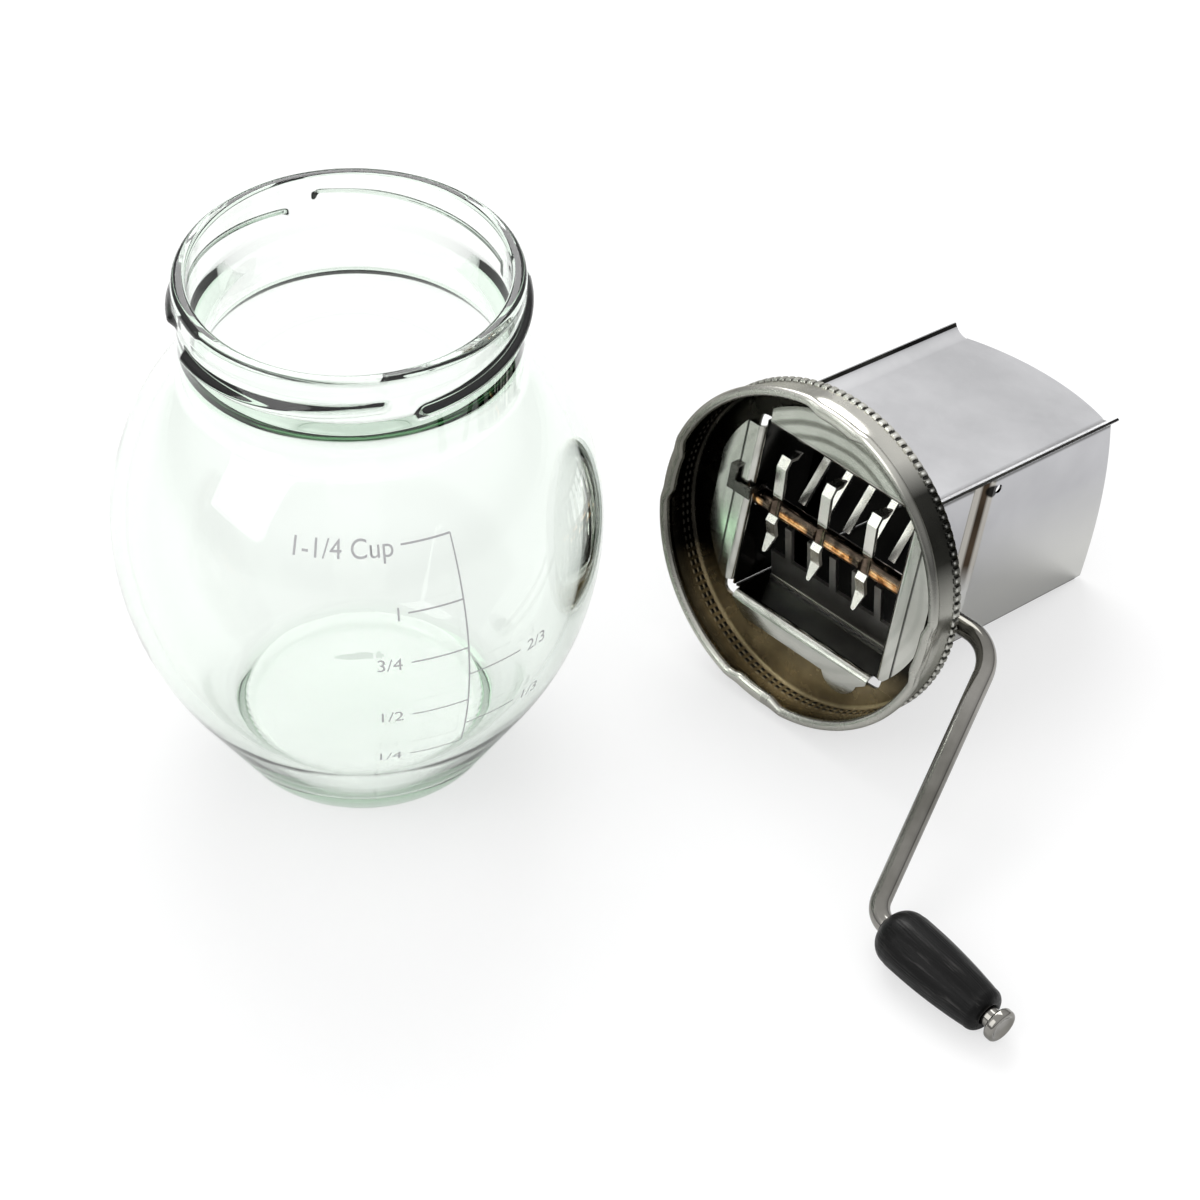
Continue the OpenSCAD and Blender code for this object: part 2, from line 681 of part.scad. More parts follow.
// A blade's path from the lower end: waved, straight through the wire, up and hooked to the mouth.
function blade_path() = let(core = wire_r + stop_play, dip = core + 1.5 * blade_t) [
    [-foot_end - blade_t, -1.6 * foot_wave], [-foot_bend, foot_wave], [-dip, -foot_wave], [-core, 0],
    [core, 0], [blade_bend, -blade_lean], [blade_top, 0], [blade_top + blade_t / 8, hook_len + blade_t]];

function unit(v) = v / norm(v);

// A point of the strip's side, half a thickness from the path, where the edges before and after meet.
function side_point(path, i, side) = let(
    last = len(path) - 1,
    before = unit(path[max(i, 1)] - path[max(i, 1) - 1]),
    after = unit(path[min(i, last - 1) + 1] - path[min(i, last - 1)]),
    across = unit([-before[1] - after[1], before[0] + after[0]]))
    path[i] + across * side * blade_t / 2 / (across * [-before[1], before[0]]);

module blade(i) {
    half = blade_w / 2;
    reach = blade_r + blade_t;
    path = blade_path();
    last = len(path) - 1;
    // The lower end narrows from the bend to the tip, and the hook to its point.
    tip = half * foot_tip;
    wide = foot_bend - (foot_end - tip / 2 - foot_bend) / (1 - foot_tip);
    top = hook_len + blade_t / 2;
    low = hook_len - hook_point - half * (hook_point + blade_t / 2) / (half - blade_t / 4);
    color([0.76, 0.76, 0.74]) at_head() translate([0, blade_u + i * blade_pitch, shaft_w]) intersection() {
        rotate([90, 0, 0]) translate([0, 0, -half]) linear_extrude(height = blade_w)
            polygon(concat([for (k = [0 : last]) side_point(path, k, -1)],
                [for (k = [0 : last]) side_point(path, last - k, 1)]));
        rotate([90, 0, 0]) cylinder(h = 2 * blade_w, r = blade_r, center = true);
        translate([0, 0, -reach]) linear_extrude(height = 2 * reach)
            polygon([[-foot_end, -tip / 2], [-foot_end + tip / 2, -tip], [-wide, -blade_w],
                [reach, -blade_w], [reach, blade_w], [-wide, blade_w], [-foot_end + tip / 2, tip],
                [-foot_end, tip / 2]]);
        rotate([90, 0, 90]) translate([0, 0, -reach]) linear_extrude(height = 2 * reach)
            polygon([[-blade_w, -reach], [blade_w, -reach], [blade_w, low], [blade_t / 4, top],
                [-blade_t / 4, top], [-blade_w, low]]);
    }
}

module blade_1() {
    blade(0);
}

module blade_2() {
    blade(1);
}

module blade_3() {
    blade(2);
}

module spindle_button() {
    low = spindle_len - button_t;
    flat_r = button_r - button_round;
    color([0.74, 0.73, 0.70]) at_spindle() difference() {
        rotate_extrude() {
            translate([0, low]) square([flat_r, button_t]);
            translate([0, low + button_round]) square([button_r, button_t - 2 * button_round]);
            for (z = [low + button_round, spindle_len - button_round]) translate([flat_r, z])
                circle(r = button_round, $fn = 24);
        }
        translate([0, 0, low - over]) cylinder(h = button_t - button_wall + over + seat_gap,
            r = wire_r + seat_gap, $fn = 48);
        translate([0, 0, spindle_len - button_dish]) cylinder(h = over, r = button_r - button_rim, $fn = 48);
    }
}

module grip() {
    end = grip_start + grip_len;
    dome_n = grip_r - grip_dome - dome_inset;
    color([0.06, 0.06, 0.06]) at_spindle() difference() {
        rotate_extrude() intersection() {
            translate([grip_r - grip_curve, grip_wide]) circle(r = grip_curve, $fn = 180);
            union() {
                translate([0, grip_start]) square([dome_n, grip_len]);
                translate([dome_n, grip_start + grip_dome]) circle(r = grip_dome, $fn = 96);
                translate([0, grip_start + grip_dome])
                    square([grip_r + over, grip_len - grip_dome - grip_edge]);
                translate([grip_end - grip_edge, end - grip_edge]) circle(r = grip_edge, $fn = 72);
                translate([0, end - grip_edge]) square([grip_end - grip_edge, grip_edge]);
            }
            translate([0, grip_start]) square([grip_r + over, grip_len]);
        }
        translate([0, 0, grip_start - over])
            cylinder(h = grip_len + 2 * over, r = wire_r + grip_play, $fn = 48);
    }
}

jar();
cap_shell();
front_panel();
back_panel();
left_panel();
right_panel();
front_comb();
back_comb();
shaft_stop();
crank_wire();
blade_1();
blade_2();
blade_3();
spindle_button();
grip();
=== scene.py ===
import json
import math

import bpy
from mathutils import Matrix, Vector


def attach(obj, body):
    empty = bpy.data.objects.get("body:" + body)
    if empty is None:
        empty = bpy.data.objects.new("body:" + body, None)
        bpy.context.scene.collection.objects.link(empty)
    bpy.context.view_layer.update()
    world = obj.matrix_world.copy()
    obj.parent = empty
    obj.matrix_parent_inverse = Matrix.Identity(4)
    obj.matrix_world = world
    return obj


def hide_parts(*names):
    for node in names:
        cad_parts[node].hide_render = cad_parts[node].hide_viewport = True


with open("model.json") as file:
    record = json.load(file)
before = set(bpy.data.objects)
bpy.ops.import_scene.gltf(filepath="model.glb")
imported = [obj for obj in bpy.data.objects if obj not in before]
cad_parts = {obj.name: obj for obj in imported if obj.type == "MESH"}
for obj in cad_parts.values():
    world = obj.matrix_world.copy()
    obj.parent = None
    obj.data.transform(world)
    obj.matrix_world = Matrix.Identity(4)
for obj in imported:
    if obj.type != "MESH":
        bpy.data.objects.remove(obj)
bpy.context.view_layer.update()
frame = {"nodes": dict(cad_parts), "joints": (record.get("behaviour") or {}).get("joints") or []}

NODES = frame["nodes"]
MM = 0.001


# The frame's own places, in millimetres as in the CAD source

KNURL_R, KNURL_LOW, KNURL_HIGH, KNURL_COUNT, KNURL_DEPTH = 32.9, 6.7, 8.5, 120, 0.4
FRONT_N, BACK_N, SIDE_U, FLAT_U, FOLD_R = 17.9, 20.0, 18.6, 16.9, 1.1
EAR_R, EAR_TURN, BACK_EAR_TURN, EARS_TOP = 3.6, math.radians(63), math.radians(20), 70.7
GROOVE_W, GROOVE_HALF, GROOVE_D, CREASE_GAP = 28.6, 3.1, 2.0, 3.1
SPOT_N, SPOT_W = 14.6, 31.7
SHAFT_W, BLADE_U, BLADE_PITCH = 11.7, -14.1, 11.2
HEAD_X, HEAD_Y = 61.4, -49.6
EAR_N = BACK_N + EAR_R * (1 - math.cos(BACK_EAR_TURN))
TILT = math.atan((KNURL_R - EAR_N) / (EARS_TOP - KNURL_HIGH))
HEAD_Z = KNURL_R * math.cos(TILT) + KNURL_HIGH * math.sin(TILT)

# Head frame: x to the front panel, y to the crank, z from the ring to the mouth.
HEAD = Matrix((
    (math.sin(TILT), 0, math.cos(TILT), HEAD_X * MM),
    (0, -1, 0, HEAD_Y * MM),
    (math.cos(TILT), 0, -math.sin(TILT), HEAD_Z * MM),
    (0, 0, 0, 1)))

JOINTS = {joint["name"]: joint for joint in frame["joints"]}
SPINDLE_POS = Vector(JOINTS["grip_spin"]["pos_m"])
SPINDLE_DIR = Vector(JOINTS["grip_spin"]["axis"]).normalized()
SPINDLE = Matrix.Translation(SPINDLE_POS) @ SPINDLE_DIR.to_track_quat("Z", "Y").to_matrix().to_4x4()


# Mesh helpers

def make_object(name, verts, faces, place=None, smooth=True):
    """A mesh object from points in metres; place moves them into the row frame."""
    mesh = bpy.data.meshes.new(name)
    mesh.from_pydata([tuple(place @ Vector(v)) if place else v for v in verts], [], faces)
    mesh.validate()
    mesh.update()
    if smooth:
        mesh.polygons.foreach_set("use_smooth", [True] * len(mesh.polygons))
    obj = bpy.data.objects.new(name, mesh)
    bpy.context.scene.collection.objects.link(obj)
    return obj


def arc(cx, cy, radius, start, end, count):
    """Points on a circle from start to end degrees, both ends included."""
    return [(cx + radius * math.cos(math.radians(start + (end - start) * i / count)),
             cy + radius * math.sin(math.radians(start + (end - start) * i / count)))
            for i in range(count + 1)]


def line(start, end, count):
    """Points from start to end, both included."""
    return [(start[0] + (end[0] - start[0]) * i / count, start[1] + (end[1] - start[1]) * i / count)
            for i in range(count + 1)]


def lathe(name, profile, segments, shape=None, place=None, closed=True):
    """Turns a profile of (radius, height) in mm round z; shape(i, angle, r, z) may move each point."""
    verts, faces = [], []
    count = len(profile)
    for k in range(segments):
        angle = 2 * math.pi * k / segments
        for i, (r, z) in enumerate(profile):
            if shape:
                r, z = shape(i, angle, r, z)
            verts.append((r * math.cos(angle) * MM, r * math.sin(angle) * MM, z * MM))
    for k in range(segments):
        nxt = (k + 1) % segments
        for i in range(count if closed else count - 1):
            j = (i + 1) % count
            a, b, c, d = k * count + i, k * count + j, nxt * count + j, nxt * count + i
            if profile[i][0] == 0 and profile[j][0] == 0:
                continue
            if profile[i][0] == 0:
                faces.append((a, c, b))
            elif profile[j][0] == 0:
                faces.append((a, d, b))
            else:
                faces.append((a, d, c, b))
    obj = make_object(name, verts, faces, place)
    weld(obj)
    return obj


def weld(obj):
    """Joins doubled points, as on a lathe's axis, and turns the faces outward."""
    import bmesh
    bm = bmesh.new()
    bm.from_mesh(obj.data)
    bmesh.ops.remove_doubles(bm, verts=bm.verts, dist=1e-7)
    bmesh.ops.recalc_face_normals(bm, faces=bm.faces)
    bm.to_mesh(obj.data)
    bm.free()
    obj.data.update()


def bump(x, half, edge):
    """1 inside +-half, falling smoothly to 0 over edge beyond it."""
    t = min(max((abs(x) - half) / edge, 0), 1)
    return 1 - t * t * (3 - 2 * t)


def wrap(angle):
    """The same angle between -pi and pi."""
    return (angle + math.pi) % (2 * math.pi) - math.pi


# Materials

def new_material(name):
    mat = bpy.data.materials.new(name)
    mat.use_nodes = True
    nodes, links = mat.node_tree.nodes, mat.node_tree.links
    bsdf = nodes["Principled BSDF"]
    return mat, nodes, links, bsdf


def texture_space(nodes, links, scale=(1, 1, 1)):
    coords = nodes.new("ShaderNodeTexCoord")
    mapping = nodes.new("ShaderNodeMapping")
    mapping.inputs["Scale"].default_value = scale
    links.new(coords.outputs["Object"], mapping.inputs["Vector"])
    return mapping.outputs["Vector"]


def head_space(nodes, links):
    """A point's place in the head's own frame, in millimetres: towards the front, the crank, the mouth."""
    coords = nodes.new("ShaderNodeTexCoord")
    mapping = nodes.new("ShaderNodeMapping")
    mapping.vector_type = "TEXTURE"
    mapping.inputs["Location"].default_value = HEAD.translation
    mapping.inputs["Rotation"].default_value = HEAD.to_euler()
    mapping.inputs["Scale"].default_value = (MM, MM, MM)
    split = nodes.new("ShaderNodeSeparateXYZ")
    links.new(coords.outputs["Object"], mapping.inputs["Vector"])
    links.new(mapping.outputs["Vector"], split.inputs["Vector"])
    return split.outputs["X"], split.outputs["Y"], split.outputs["Z"]


def calc(nodes, links, operation, *values):
    """One math node; each value is a socket or a number."""
    node = nodes.new("ShaderNodeMath")
    node.operation = operation
    for value, socket in zip(values, node.inputs):
        if isinstance(value, (int, float)):
            socket.default_value = value
        else:
            links.new(value, socket)
    return node.outputs["Value"]


def both(nodes, links, *masks):
    """1 where every mask is 1."""
    result = masks[0]
    for mask in masks[1:]:
        result = calc(nodes, links, "MULTIPLY", result, mask)
    return result


def blend(nodes, links, factor, under, over):
    """A colour or value mixed from under to over; over is a socket or a colour."""
    mix = nodes.new("ShaderNodeMix")
    mix.data_type = "RGBA"
    links.new(factor, mix.inputs["Factor"])
    links.new(under, mix.inputs[6])
    if isinstance(over, tuple):
        mix.inputs[7].default_value = (*over, 1)
    else:
        links.new(over, mix.inputs[7])
    return mix.outputs[2]


def attribute(nodes, name):
    node = nodes.new("ShaderNodeAttribute")
    node.attribute_name = name
    return node.outputs["Fac"]


def noise(nodes, links, space, scale, detail=4, roughness=0.55):
    node = nodes.new("ShaderNodeTexNoise")
    node.inputs["Scale"].default_value = scale
    node.inputs["Detail"].default_value = detail
    node.inputs["Roughness"].default_value = roughness
    links.new(space, node.inputs["Vector"])
    return node.outputs["Fac"]


def ramp(nodes, links, source, stops):
    node = nodes.new("ShaderNodeValToRGB")
    while len(node.color_ramp.elements) < len(stops):
        node.color_ramp.elements.new(0.5)
    for element, (place, colour) in zip(node.color_ramp.elements, stops):
        element.position = place
        element.color = (*colour, 1)
    links.new(source, node.inputs["Fac"])
    return node.outputs["Color"]


def mapped(nodes, links, source, low, high, start=0.3, end=0.7):
    node = nodes.new("ShaderNodeMapRange")
    node.inputs["From Min"].default_value = start
    node.inputs["From Max"].default_value = end
    node.inputs["To Min"].default_value = low
    node.inputs["To Max"].default_value = high
    links.new(source, node.inputs["Value"])
    return node.outputs["Result"]


def add_bump(nodes, links, bsdf, source, strength, distance):
    node = nodes.new("ShaderNodeBump")
    node.inputs["Strength"].default_value = strength
    node.inputs["Distance"].default_value = distance
    links.new(source, node.inputs["Height"])
    links.new(node.outputs["Normal"], bsdf.inputs["Normal"])


def metal(name, dark, light, rough_low, rough_high, scale=(1, 1, 1), dent=0.0002, streak=False):
    """Plated steel: colour and gloss vary in soft patches, with fine rolling marks where streak is set."""
    mat, nodes, links, bsdf = new_material(name)
    bsdf.inputs["Metallic"].default_value = 1.0
    space = texture_space(nodes, links)
    patches = noise(nodes, links, space, 45, 5)
    links.new(ramp(nodes, links, patches, [(0.35, dark), (0.65, light)]), bsdf.inputs["Base Color"])
    fine = noise(nodes, links, texture_space(nodes, links, scale), 600, 3, 0.7) if streak else \
        noise(nodes, links, space, 260, 4, 0.6)
    links.new(mapped(nodes, links, fine, rough_low, rough_high), bsdf.inputs["Roughness"])
    waves = noise(nodes, links, space, 28, 1, 0.3)
    add_bump(nodes, links, bsdf, waves, 0.35, dent)
    return mat, nodes, links, bsdf


def glass_material():
    mat, nodes, links, bsdf = new_material("jar_glass")
    bsdf.inputs["Base Color"].default_value = (1, 1, 1, 1)
    bsdf.inputs["Transmission Weight"].default_value = 1.0
    bsdf.inputs["IOR"].default_value = 1.5
    bsdf.inputs["Roughness"].default_value = 0.0
    bsdf.inputs["Specular IOR Level"].default_value = 0.3
    absorb = nodes.new("ShaderNodeVolumeAbsorption")
    absorb.inputs["Color"].default_value = (0.30, 0.68, 0.36, 1)
    absorb.inputs["Density"].default_value = 24.0
    links.new(absorb.outputs["Volume"], nodes["Material Output"].inputs["Volume"])
    space = texture_space(nodes, links)
    add_bump(nodes, links, bsdf, noise(nodes, links, space, 55, 2, 0.4), 0.15, 0.0004)
    return mat


def print_material():
    mat, nodes, links, bsdf = new_material("grey_print")
    space = texture_space(nodes, links)
    speckle = noise(nodes, links, space, 2600, 3, 0.7)
    links.new(ramp(nodes, links, speckle, [(0.3, (0.36, 0.36, 0.37)), (0.7, (0.46, 0.46, 0.47))]),
              bsdf.inputs["Base Color"])
    bsdf.inputs["Roughness"].default_value = 0.6
    return mat


def cap_material():
    """Satin plate outside, with painted shade: near-black in a band towards the crank and darker on the left, and
    painted highlights on the knurls' tops. Inside, golden lacquer towards the back and painted near-black shade
    elsewhere; painted shade also fills the knurls' grooves and the inner dash rows. The mesh's attributes say
    which side a point is on, where the knurls' grooves are and where the painted glints go."""
    mat, nodes, links, bsdf = metal("cap_plate", (0.46, 0.46, 0.42), (0.60, 0.59, 0.54), 0.22, 0.30, dent=0.0001)
    bsdf.inputs["Specular Tint"].default_value = (0.45, 0.45, 0.42, 1)
    n, u, w = head_space(nodes, links)
    space = texture_space(nodes, links)
    patches = noise(nodes, links, space, 70, 4)
    plate = bsdf.inputs["Base Color"].links[0].from_socket
    # Painted shade: the outside plate turns near-black in a band towards the crank, fading beyond it and a little
    # weaker on the curl.
    turn = calc(nodes, links, "ARCTAN2", u, n)
    shade = both(nodes, links, mapped(nodes, links, turn, 0.0, 0.98, 0.48, 0.70),
                 mapped(nodes, links, turn, 1.0, 0.35, 1.10, 1.42), mapped(nodes, links, w, 0.75, 1.0, 0.6, 2.0))
    plate = blend(nodes, links, shade, plate, ramp(nodes, links, patches, [
        (0.35, (0.008, 0.008, 0.007)), (0.65, (0.03, 0.03, 0.026))]))
    # Painted shade: the plate is darker on the left of the ring.
    left = both(nodes, links, mapped(nodes, links, turn, 0.0, 0.8, -2.7, -1.9),
                mapped(nodes, links, turn, 1.0, 0.0, -1.2, -0.3))
    plate = blend(nodes, links, left, plate, (0.07, 0.067, 0.052))
    # Painted highlight: near-white on the knurls' tops where the glint mask is set.
    plate = blend(nodes, links, attribute(nodes, "knurl_glint"), plate, (0.85, 0.85, 0.80))
    # Painted shade: the inside is near-black except towards the back, where the golden lacquer shows.
    dark = ramp(nodes, links, patches, [(0.35, (0.006, 0.006, 0.005)), (0.65, (0.022, 0.02, 0.016))])
    gold = ramp(nodes, links, patches, [(0.35, (0.15, 0.115, 0.06)), (0.65, (0.42, 0.33, 0.18))])
    golden = both(nodes, links, mapped(nodes, links, n, 1.0, 0.0, -27, -14),
                  mapped(nodes, links, w, 0.35, 1.0, 2.6, 5.0))
    tint = blend(nodes, links, golden, dark, gold)
    inner = attribute(nodes, "inside")
    lacquer = both(nodes, links, inner, golden)
    links.new(mapped(nodes, links, lacquer, 1.0, 0.45, 0, 1), bsdf.inputs["Metallic"])
    colour = blend(nodes, links, inner, plate, tint)
    # Painted shade: near-black in the knurls' grooves and the inner dash rows.
    colour = blend(nodes, links, attribute(nodes, "groove"), colour, (0.008, 0.008, 0.007))
    links.new(colour, bsdf.inputs["Base Color"])
    return mat


def sheet_material():
    """Polished sheet, light outside. Its colour carries painted shade: greyer flanges with dark painted
    reflection arcs, greyer side panels, and near-black in the hopper's hollow, under and on the ears, along the
    side panels' front edges, in the creases and grooves, and in a disc on each side panel."""
    mat, nodes, links, bsdf = metal("sheet_plate", (0.66, 0.66, 0.67), (0.80, 0.80, 0.81), 0.10, 0.22,
                                    (1, 1, 12), 0.0004, True)
    n, u, w = head_space(nodes, links)
    across = calc(nodes, links, "ABSOLUTE", u)
    from_valley = calc(nodes, links, "ABSOLUTE", calc(nodes, links, "SUBTRACT", w, GROOVE_W))
    depth = mapped(nodes, links, from_valley, GROOVE_D, 0.0, 0.0, GROOVE_HALF)
    # Painted shade: the hopper's inside walls above the flanges turn near-black.
    hollow = both(
        nodes, links,
        calc(nodes, links, "LESS_THAN", calc(nodes, links, "ADD", across, depth), SIDE_U - 0.25),
        calc(nodes, links, "LESS_THAN", n, FRONT_N - 0.25),
        calc(nodes, links, "GREATER_THAN", n, 0.25 - BACK_N),
        calc(nodes, links, "GREATER_THAN", w, CAP_H))
    past_wall = calc(nodes, links, "MAXIMUM", calc(nodes, links, "SUBTRACT", n, FRONT_N),
                     calc(nodes, links, "SUBTRACT", calc(nodes, links, "MULTIPLY", n, -1), BACK_N))
    ear_x = calc(nodes, links, "SUBTRACT", past_wall, EAR_R)
    ear_y = calc(nodes, links, "SUBTRACT", across, FLAT_U)
    from_ear = calc(nodes, links, "SQRT", calc(
        nodes, links, "ADD", calc(nodes, links, "MULTIPLY", ear_x, ear_x),
        calc(nodes, links, "MULTIPLY", ear_y, ear_y)))
    # Painted shade under the ears, where they curl away from the side panels.
    under_ear = both(
        nodes, links,
        calc(nodes, links, "GREATER_THAN", from_ear, EAR_R + 0.25),
        calc(nodes, links, "GREATER_THAN", ear_y, 0.0),
        calc(nodes, links, "GREATER_THAN", past_wall, -0.45))
    side = calc(nodes, links, "LESS_THAN", past_wall, -0.5)
    # Painted shade in the side groove towards the front: a dark band on its upper facet and a dark line at its
    # lower edge.
    above = calc(nodes, links, "SUBTRACT", w, GROOVE_W)
    valley = calc(nodes, links, "ABSOLUTE", calc(nodes, links, "SUBTRACT", above, 1.75))
    groove_top = mapped(nodes, links, n, 0.0, 1.0, -8, -2)
    band = both(nodes, links, side, groove_top, mapped(nodes, links, valley, 1.0, 0.0, 0.4, 0.85))
    start_line = calc(nodes, links, "ABSOLUTE", calc(nodes, links, "ADD", above, GROOVE_HALF - 0.1))
    band = calc(nodes, links, "MAXIMUM", band, both(
        nodes, links, side, groove_top, mapped(nodes, links, start_line, 0.75, 0.0, 0.12, 0.40)))
    # Painted shade: a near-black disc on each side panel near the side groove's upper end.
    spot_n = calc(nodes, links, "SUBTRACT", n, SPOT_N)
    spot_w = calc(nodes, links, "SUBTRACT", w, SPOT_W)
    from_spot = calc(nodes, links, "SQRT", calc(
        nodes, links, "ADD", calc(nodes, links, "MULTIPLY", spot_n, spot_n),
        calc(nodes, links, "MULTIPLY", spot_w, spot_w)))
    spot = both(nodes, links, side, mapped(nodes, links, from_spot, 0.97, 0.0, 1.1, 1.5))
    # Painted shadow: a dark line along each side panel's outer face just below the front ear.
    seam = both(nodes, links, side, calc(nodes, links, "GREATER_THAN", across, SIDE_U - 0.3),
                mapped(nodes, links, n, 0.0, 0.8, FRONT_N - 1.5, FRONT_N - 1.0))
    # Painted shade: the back panel's ears above the flanges turn dark.
    back_edge = both(nodes, links, calc(nodes, links, "LESS_THAN", n, 0.6 - BACK_N),
                     calc(nodes, links, "GREATER_THAN", ear_y, 0.0), calc(nodes, links, "GREATER_THAN", w, CAP_H))
    # Painted shade: the ears' far ends and cut faces turn dark.
    ear_end = mapped(nodes, links, n, math.cos(0.8 * BACK_EAR_TURN), math.cos(0.8 * EAR_TURN), 0, 1)
    cut_face = both(
        nodes, links,
        calc(nodes, links, "LESS_THAN", calc(nodes, links, "MULTIPLY", ear_x, -1),
             calc(nodes, links, "MULTIPLY", from_ear, ear_end)),
        calc(nodes, links, "GREATER_THAN", ear_y, 0.0),
        calc(nodes, links, "GREATER_THAN", past_wall, 0.0))
    flange = calc(nodes, links, "LESS_THAN", w, CAP_H)
    # Painted shade: a dark line along each flange's crease.
    from_crease = calc(nodes, links, "ABSOLUTE", calc(nodes, links, "SUBTRACT", across, SIDE_U + CREASE_GAP))
    crease = both(nodes, links, flange, mapped(nodes, links, from_crease, 0.8, 0.0, 0.12, 0.35))
    # Every mask gathered here is painted shade.
    shade = hollow
    for mask in (under_ear, cut_face, seam, back_edge, crease):
        shade = calc(nodes, links, "MAXIMUM", shade, mask)
    plate = bsdf.inputs["Base Color"].links[0].from_socket
    space = texture_space(nodes, links)
    cloud = noise(nodes, links, space, 60, 3, 0.5)
    # Painted shade: the side panels get a greyer copy of the plate, lighter towards the back.
    side_grey = blend(nodes, links, mapped(nodes, links, n, 1.0, 0.0, -12, 6),
                      ramp(nodes, links, cloud, [(0.35, (0.38, 0.38, 0.395)), (0.65, (0.43, 0.43, 0.445))]),
                      (0.54, 0.54, 0.52))
    wall_side = both(nodes, links, side, calc(
        nodes, links, "GREATER_THAN", calc(nodes, links, "ADD", across, depth), SIDE_U - 0.25))
    plate = blend(nodes, links, wall_side, plate, side_grey)
    # Painted shade: brownish grey over the side groove towards the front.
    slope = both(nodes, links, wall_side, groove_top, mapped(
        nodes, links, calc(nodes, links, "ABSOLUTE", above), 0.8, 0.0, GROOVE_HALF, GROOVE_HALF + 0.5))
    plate = blend(nodes, links, slope, plate, (0.36, 0.34, 0.30))
    # Painted shade: the groove's dark band and line.
    plate = blend(nodes, links, band, plate, ramp(nodes, links, cloud, [
        (0.35, (0.02, 0.015, 0.01)), (0.65, (0.06, 0.042, 0.028))]))
    # Painted shade and painted reflection: the flanges get a greyer copy of the plate, crossed by dark arcs round
    # the ring's centre, stronger towards the front.
    radius = calc(nodes, links, "SQRT", calc(nodes, links, "ADD", calc(nodes, links, "MULTIPLY", n, n),
                                             calc(nodes, links, "MULTIPLY", u, u)))
    arcs = calc(nodes, links, "SINE", calc(nodes, links, "ADD", calc(nodes, links, "MULTIPLY", radius, 2.3),
                                           calc(nodes, links, "MULTIPLY", cloud, 5.0)))
    arcs = calc(nodes, links, "MULTIPLY", mapped(nodes, links, arcs, 0.0, 1.0, -0.2, 0.9),
                mapped(nodes, links, n, 0.15, 0.75, FRONT_N - 3, FRONT_N + 2))
    flange_grey = blend(nodes, links, arcs, ramp(nodes, links, cloud, [
        (0.35, (0.46, 0.46, 0.42)), (0.65, (0.60, 0.60, 0.56))]), (0.12, 0.12, 0.10))
    plate = blend(nodes, links, flange, plate, flange_grey)
    # The near-black colour of the painted shade; the disc is painted darker still.
    dark = ramp(nodes, links, noise(nodes, links, texture_space(nodes, links), 60, 4), [
        (0.35, (0.012, 0.012, 0.012)), (0.65, (0.05, 0.05, 0.045))])
    plate = blend(nodes, links, spot, blend(nodes, links, shade, plate, dark), (0.003, 0.003, 0.003))
    links.new(plate, bsdf.inputs["Base Color"])
    return mat


def wire_material():
    """Plated wire; along the shaft inside the hopper its colour is painted reflection: dark, with an orange
    stripe on the shaft's lower side, fading near the blades.
    """
    mat, nodes, links, bsdf = metal("wire_plate", (0.15, 0.145, 0.13), (0.30, 0.29, 0.27), 0.08, 0.16,
                                    dent=0.0001)
    n, u, w = head_space(nodes, links)
    across = calc(nodes, links, "ABSOLUTE", u)
    near = calc(nodes, links, "ABSOLUTE", calc(nodes, links, "SUBTRACT", w, SHAFT_W))
    shaft = both(
        nodes, links,
        calc(nodes, links, "LESS_THAN", across, SIDE_U - 0.5),
        calc(nodes, links, "LESS_THAN", near, 2 * WIRE_R))
    # Painted reflection on the shaft inside the hopper: dark, with an orange stripe on its lower side that fades
    # near the blades.
    specks = noise(nodes, links, texture_space(nodes, links), 420, 4, 0.7)
    orange_reflection = ramp(nodes, links, specks, [(0.36, (0.16, 0.06, 0.02)), (0.46, (0.80, 0.36, 0.12)),
                                         (0.62, (1.0, 0.66, 0.34))])
    from_blade = calc(nodes, links, "ABSOLUTE", calc(nodes, links, "SUBTRACT", calc(
        nodes, links, "FLOORED_MODULO", calc(nodes, links, "ADD", u, BLADE_PITCH / 2 - BLADE_U), BLADE_PITCH),
        BLADE_PITCH / 2))
    stripe = both(nodes, links, mapped(nodes, links, n, 1.0, 0.0, 0.3, 0.8),
                  mapped(nodes, links, n, 0.0, 1.0, -1.3, -0.8), mapped(nodes, links, from_blade, 0, 1, 1.8, 3.0))
    shaft_reflection = blend(nodes, links, stripe, ramp(nodes, links, specks, [
        (0.3, (0.02, 0.016, 0.012)), (0.7, (0.16, 0.12, 0.09))]), orange_reflection)
    plate = bsdf.inputs["Base Color"].links[0].from_socket
    links.new(blend(nodes, links, shaft, plate, shaft_reflection), bsdf.inputs["Base Color"])
    return mat


def wood_material():
    """Black-stained turned wood: long pores and lighter worn streaks along the grip, under thin gloss."""
    mat, nodes, links, bsdf = new_material("black_wood")
    coords = nodes.new("ShaderNodeTexCoord")
    mapping = nodes.new("ShaderNodeMapping")
    turn = SPINDLE.to_3x3().inverted().to_euler()
    mapping.inputs["Rotation"].default_value = turn
    stretch = nodes.new("ShaderNodeMapping")
    stretch.inputs["Scale"].default_value = (1, 1, 0.09)
    links.new(coords.outputs["Object"], mapping.inputs["Vector"])
    links.new(mapping.outputs["Vector"], stretch.inputs["Vector"])
    grain = noise(nodes, links, stretch.outputs["Vector"], 900, 6, 0.65)
    links.new(ramp(nodes, links, grain, [(0.32, (0.001, 0.001, 0.001)), (0.55, (0.003, 0.003, 0.003)),
                                         (0.70, (0.03, 0.029, 0.028))]), bsdf.inputs["Base Color"])
    links.new(mapped(nodes, links, grain, 0.46, 0.28), bsdf.inputs["Roughness"])
    bsdf.inputs["Specular IOR Level"].default_value = 0.14
    add_bump(nodes, links, bsdf, grain, 0.5, 0.00025)
    return mat


def assign(obj, mat):
    obj.data.materials.clear()
    obj.data.materials.append(mat)


# The jar

